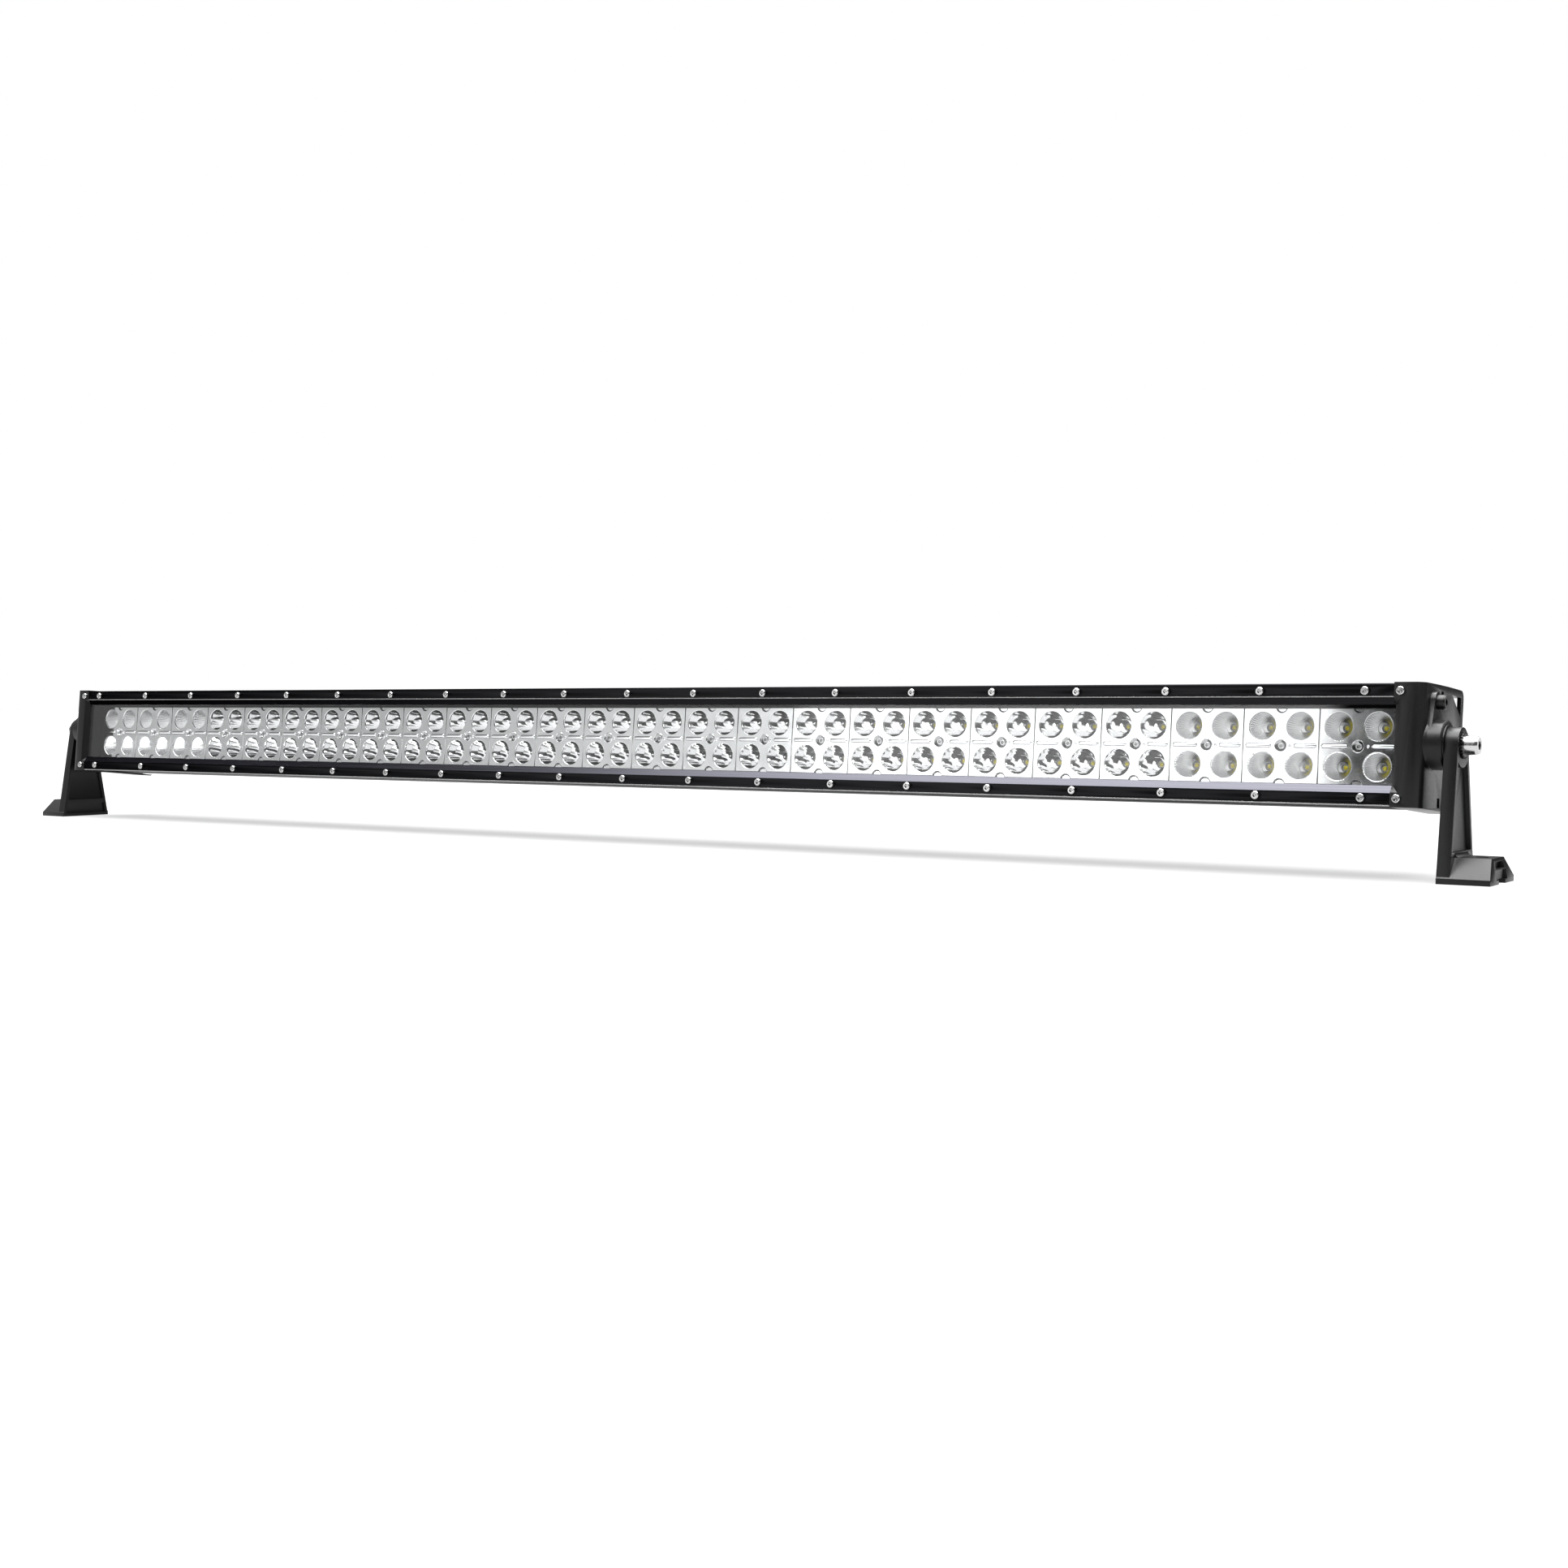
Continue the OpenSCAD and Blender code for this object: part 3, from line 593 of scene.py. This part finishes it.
def chip(bm, x, z):
    """A ceramic base with chamfered edges and a yellow dome on it."""
    steps = ((CHIP_HALF, 0), (CHIP_HALF, CHIP_T - CHIP_CHAMFER), (CHIP_HALF - CHIP_CHAMFER, CHIP_T))
    loops = []
    for half, height in steps:
        corners = ((-half, -half), (half, -half), (half, half), (-half, half))
        loops.append(ring(bm, [(x + dx, BOARD_DEPTH - height, z + dz) for dx, dz in corners]))
        if len(loops) > 1:
            bridge(bm, loops[-2], loops[-1], smooth=False)
    bm.faces.new(loops[-1])
    rim = None
    for k in range(DOME_RINGS):
        angle = math.pi / 2 * k / DOME_RINGS
        level = BOARD_DEPTH - CHIP_T - DOME_H * math.sin(angle)
        points = [(px, level, pz) for px, pz in circle(x, z, DOME_R * math.cos(angle), DOME_POINTS)]
        loop = ring(bm, points)
        if rim:
            bridge(bm, rim, loop, material=1)
        rim = loop
    cap = bm.faces.new(rim)
    cap.smooth = True
    cap.material_index = 1


def add_chips(materials):
    """All emitters as one piece, one in the middle of each cup."""
    bm = bmesh.new()
    for i in range(MODULES):
        for dx in (-CUP_OFFSET, CUP_OFFSET):
            for z in (-CUP_OFFSET, CUP_OFFSET):
                chip(bm, module_x(i) + dx, z)
    finishes = [materials["led_ceramic"], materials["led_emitter"]]
    finish_head_piece(bm, "led_emitters", finishes, "led_chips")


# ---- Fasteners ----
SCREW_POINTS = 36
SOCKET_DEPTH, SOCKET_CHAMFER = 1.5, 0.12
# The pin's radius, and how far its shoulder and its top lie below the head's face.
PIN_R, PIN_SHOULDER, PIN_TOP = 0.42, 0.35, 0.2
RAIL_SCREWS = 20
RAIL_SCREW_REACH = 605.8
RAIL_SCREW_PITCH = 2 * RAIL_SCREW_REACH / (RAIL_SCREWS - 1)
RAIL_END_SCREW = 609.3
CORNER_SCREW = 631.2
SCREW_HEIGHT = 32.75
# Head radius, head height and half the socket's width across flats.
RAIL_SCREW_HEAD = (2.7, 2.2, 1.25)
MODULE_SCREW_HEAD = (2.25, 1.6, 0.95)
MODULE_SCREW_SEAT = REFLECTOR_DEPTH + RECESS_DEPTH


def hexagon_radius(angle, flat):
    """Distance to a hexagon's side at an angle, for half its width across flats."""
    return flat / math.cos((angle % (math.pi / 3)) - math.pi / 6)


def screw_head(bm, x, y, z, radius, height, flat):
    """A pan head with a rounded shoulder, a hexagon socket and a pin in the socket, facing -Y."""
    shoulder = (
        (radius * 0.98, 0), (radius, -0.15), (radius, -height * 0.55), (radius * 0.96, -height * 0.78),
        (radius * 0.88, -height * 0.93), (radius * 0.76, -height),
    )
    bottom = -height + SOCKET_DEPTH
    socket = ((SOCKET_CHAMFER, -height), (0.0, -height + SOCKET_CHAMFER), (0.0, bottom))
    pin = ((PIN_R, bottom), (PIN_R, -height + PIN_SHOULDER), (PIN_R * 0.7, -height + PIN_TOP))
    angles = turns(SCREW_POINTS)

    def loop(radii, level):
        flat_points = [(r * math.cos(a), r * math.sin(a)) for r, a in zip(radii, angles)]
        return ring(bm, [(x + across, y + level, z + up) for across, up in flat_points])

    levels = [loop([r] * SCREW_POINTS, level) for r, level in shoulder]
    levels += [loop([hexagon_radius(a, flat) + grow for a in angles], level) for grow, level in socket]
    levels += [loop([r] * SCREW_POINTS, level) for r, level in pin]
    for i in range(1, len(levels)):
        bridge(bm, levels[i - 1], levels[i], smooth=i < len(shoulder))
    bm.faces.new(levels[-1])


def rail_screw_places():
    """The rail screws' x: an even row, with the end ones a little further out."""
    row = [(i - (RAIL_SCREWS - 1) / 2) * RAIL_SCREW_PITCH for i in range(1, RAIL_SCREWS - 1)]
    return [-RAIL_END_SCREW, *row, RAIL_END_SCREW]


def add_screws(materials):
    """Detailed heads in place of the plain ones, one piece for each CAD node."""
    corners = [(x, z) for x in (-CORNER_SCREW, CORNER_SCREW) for z in (-SCREW_HEIGHT, SCREW_HEIGHT)]
    rows = {
        "top_rail_screws": [(x, SCREW_HEIGHT) for x in rail_screw_places()],
        "bottom_rail_screws": [(x, -SCREW_HEIGHT) for x in rail_screw_places()],
        "corner_screws": corners,
    }
    steel = [materials["stainless"]]
    for name, places in rows.items():
        bm = bmesh.new()
        for x, z in places:
            screw_head(bm, x, 0, z, *RAIL_SCREW_HEAD)
        finish_head_piece(bm, f"{name}_detail", steel, name)
    bm = bmesh.new()
    for i in range(MODULES):
        screw_head(bm, module_x(i), MODULE_SCREW_SEAT, 0, *MODULE_SCREW_HEAD)
    finish_head_piece(bm, "reflector_screws_detail", steel, "reflector_screws")


# ---- Painted highlights on the rails' edges ----
HIGHLIGHT_STRIP_HALF = 626.8
EDGE_LIFT, EDGE_SINK = 0.04, 0.1
# Each strip's two borders as (depth, height).
TOP_RAIL_HIGHLIGHT = ((0.0, 29.5), (0.5, 29.0))
BOTTOM_RAIL_HIGHLIGHT = ((0.0, -36.8), (0.7, -37.5))


def painted_highlight_strip(bm, upper, lower):
    """A thin bright metal strip on one chamfer, along most of the bar: a painted highlight."""
    along = Vector((lower[0] - upper[0], lower[1] - upper[1])).normalized()
    out = Vector((along.y, -along.x))
    if out.x > 0:
        out = -out
    corners = []
    for (y, z), step in ((upper, EDGE_LIFT), (lower, EDGE_LIFT), (lower, -EDGE_SINK), (upper, -EDGE_SINK)):
        corners.append((y + out.x * step, z + out.y * step))
    ends = [ring(bm, [(x, y, z) for y, z in corners]) for x in (-HIGHLIGHT_STRIP_HALF, HIGHLIGHT_STRIP_HALF)]
    bridge(bm, *ends, smooth=False)
    bm.faces.new(ends[0])
    bm.faces.new(ends[1])


def add_painted_highlights(materials):
    """Painted highlights as bright strips on the chamfers: under the top rail's flat and under the bottom
    rail.
    """
    bm = bmesh.new()
    painted_highlight_strip(bm, *TOP_RAIL_HIGHLIGHT)
    painted_highlight_strip(bm, *BOTTOM_RAIL_HIGHLIGHT)
    finish_head_piece(bm, "rail_painted_highlights", [materials["painted_highlight_edge"]])


# ---- CAD nodes ----
SMOOTH_ANGLE = math.radians(31)
BEVEL_FROM = math.radians(32)
BEVEL_SEGMENTS = 3
FLAT_WITHIN = math.radians(0.5)
WELD_WITHIN = 1e-6
# Widths of the rounded edges, in millimetres.
SOFT_EDGES = {
    "left_bracket": 0.9,
    "right_bracket": 0.9,
    "left_end_cap": 0.6,
    "right_end_cap": 0.6,
    "top_rail": 0.2,
    "bottom_rail": 0.2,
    "housing": 0.25,
}


def smooth_by_angle():
    """A node group that shades smooth across every edge flatter than SMOOTH_ANGLE."""
    group = bpy.data.node_groups.new("smooth_by_angle", "GeometryNodeTree")
    group.interface.new_socket("Geometry", in_out="INPUT", socket_type="NodeSocketGeometry")
    group.interface.new_socket("Geometry", in_out="OUTPUT", socket_type="NodeSocketGeometry")
    n = Nodes(group)
    start = n.add("NodeGroupInput")
    faces = n.add("GeometryNodeSetShadeSmooth", domain="FACE")
    edges = n.add("GeometryNodeSetShadeSmooth", domain="EDGE")
    end = n.add("NodeGroupOutput")
    flat_enough = n.add("FunctionNodeCompare", data_type="FLOAT", operation="LESS_THAN")
    flat_enough.inputs[1].default_value = SMOOTH_ANGLE
    n.link(n.add("GeometryNodeInputMeshEdgeAngle").outputs["Unsigned Angle"], flat_enough.inputs[0])
    n.link(start.outputs[0], faces.inputs["Geometry"])
    n.link(faces.outputs[0], edges.inputs["Geometry"])
    n.link(flat_enough.outputs[0], edges.inputs["Shade Smooth"])
    n.link(edges.outputs[0], end.inputs[0])
    return group


def shade_by_angle(node, group):
    modifier = node.modifiers.new("smooth_by_angle", "NODES")
    modifier.node_group = group


def soften(node, width):
    """Rounded edges on a CAD node, by modifiers alone."""
    weld = node.modifiers.new("weld", "WELD")
    weld.merge_threshold = WELD_WITHIN
    flat = node.modifiers.new("flat", "DECIMATE")
    flat.decimate_type = "DISSOLVE"
    flat.angle_limit = FLAT_WITHIN
    bevel = node.modifiers.new("bevel", "BEVEL")
    bevel.width = width * MM
    bevel.segments = BEVEL_SEGMENTS
    bevel.limit_method = "ANGLE"
    bevel.angle_limit = BEVEL_FROM
    bevel.use_clamp_overlap = True


def dress_nodes(materials):
    """Materials and shading for the CAD nodes: a node's own material, or else the one of its slot."""
    slot_of = {row["node"]: row["material_slot"] for row in frame["record"]["subparts"]}
    for name, node in frame["nodes"].items():
        material = materials[name if name in materials else slot_of[name]]
        node.data.materials.clear()
        node.data.materials.append(material)
    group = smooth_by_angle()
    for name, node in frame["nodes"].items():
        if name in SOFT_EDGES:
            soften(node, SOFT_EDGES[name])
        shade_by_angle(node, group)
    frame["nodes"]["lens"].visible_shadow = False


# ---- Studio ----
FLOOR_SIZE = 60.0
FLOOR_DARK, FLOOR_LIGHT, FLOOR_GLOW = 0.125, 0.135, 0.6
# Brightness of the light tent's parts.
OVERHEAD, CARD, FAR_LEFT, RIGHT, REAR, DIM = 13.0, 1.8, 0.08, 0.28, 1.2, 0.02
WALL_NEAR, WALL_FAR = 0.86, 0.44
# Where the parts fade, in degrees from straight ahead, positive to the left.
CARD_START, CARD_END = (19.4, 20.4), (34.1, 35.0)
WALL_FADE, FAR_LEFT_START, LEFT_END = (33, 48), (48, 54), (95, 120)
RIGHT_START, RIGHT_END = (-60, -20), (-130, -100)
REAR_START = (115, 130)
# Where they fade by height, from 0 on the horizon to 1 straight up.
REAR_FOOT, OVERHEAD_EDGE = (0.28, 0.42), (0.70, 0.88)


def floor_material():
    """A pale floor that glows a little, so the shadow under the bar stays faint."""
    material, n, s = principled("pale_floor", Roughness=0.8, Specular_IOR_Level=0.1)
    cloud = n.noise(2.0, 2)
    n.link(n.mix(cloud, grey(FLOOR_DARK), grey(FLOOR_LIGHT)), s["Base Color"])
    s["Emission Color"].default_value = grey(1.0)
    s["Emission Strength"].default_value = FLOOR_GLOW
    return material


def add_floor():
    bm = bmesh.new()
    half = FLOOR_SIZE / 2
    bm.faces.new(ring(bm, [(-half, -half, 0), (half, -half, 0), (half, half, 0), (-half, half, 0)]))
    floor = mesh_object("floor", bm, [floor_material()])


def light_by_direction(n):
    """The tent's strength: overhead, a card front left, a fading wall beyond it, sides and a high rear."""
    place = n.add("ShaderNodeTexCoord")
    split = n.add("ShaderNodeSeparateXYZ")
    n.link(place.outputs["Generated"], split.inputs[0])
    x, y, z = split.outputs
    left = n.math("MULTIPLY", x, -1.0)
    ahead = n.math("MULTIPLY", y, -1.0)
    turn = n.math("MULTIPLY", n.math("ARCTAN2", left, ahead), 180 / math.pi)
    until_rear = n.ramp(turn, *LEFT_END, 1.0, 0.0)
    card = n.math("MULTIPLY", n.ramp(turn, *CARD_START), n.ramp(turn, *CARD_END, 1.0, 0.0))
    wall = n.math("MULTIPLY", n.ramp(turn, *CARD_END), until_rear)
    far_left = n.math("MULTIPLY", n.ramp(turn, *FAR_LEFT_START), until_rear)
    right = n.math("MULTIPLY", n.ramp(turn, *RIGHT_START, 1.0, 0.0), n.ramp(turn, *RIGHT_END))
    rear = n.math("MULTIPLY", n.ramp(n.math("ABSOLUTE", turn), *REAR_START), n.ramp(z, *REAR_FOOT))
    above = n.ramp(z, *OVERHEAD_EDGE)
    fade = n.ramp(turn, *WALL_FADE, WALL_NEAR, WALL_FAR)
    total = n.math("MULTIPLY", wall, fade)
    parts = ((card, CARD), (far_left, FAR_LEFT), (right, RIGHT), (rear, REAR), (above, OVERHEAD))
    for part, strength in parts:
        total = n.math("ADD", total, n.math("MULTIPLY", part, strength))
    return n.math("ADD", total, DIM)


def studio_light():
    """The light tent, with a plain white backdrop for the camera."""
    world = bpy.data.worlds.new("studio")
    SCENE.world = world
    world.use_nodes = True
    n = Nodes(world.node_tree)
    tent = n.add("ShaderNodeBackground")
    tent.inputs["Color"].default_value = grey(1.0)
    n.link(light_by_direction(n), tent.inputs["Strength"])
    backdrop = n.add("ShaderNodeBackground")
    backdrop.inputs["Color"].default_value = grey(1.0)
    path = n.add("ShaderNodeLightPath")
    choose = n.add("ShaderNodeMixShader")
    n.link(path.outputs["Is Camera Ray"], choose.inputs[0])
    n.link(tent.outputs[0], choose.inputs[1])
    n.link(backdrop.outputs[0], choose.inputs[2])
    output = n.add("ShaderNodeOutputWorld")
    n.link(choose.outputs[0], output.inputs["Surface"])


def plain_view():
    SCENE.view_settings.view_transform = "Standard"
    SCENE.view_settings.look = "None"


add_camera()
plain_view()
studio_light()
add_floor()
finishes = all_materials()
dress_nodes(finishes)
add_reflectors(finishes)
add_chips(finishes)
add_screws(finishes)
add_painted_highlights(finishes)
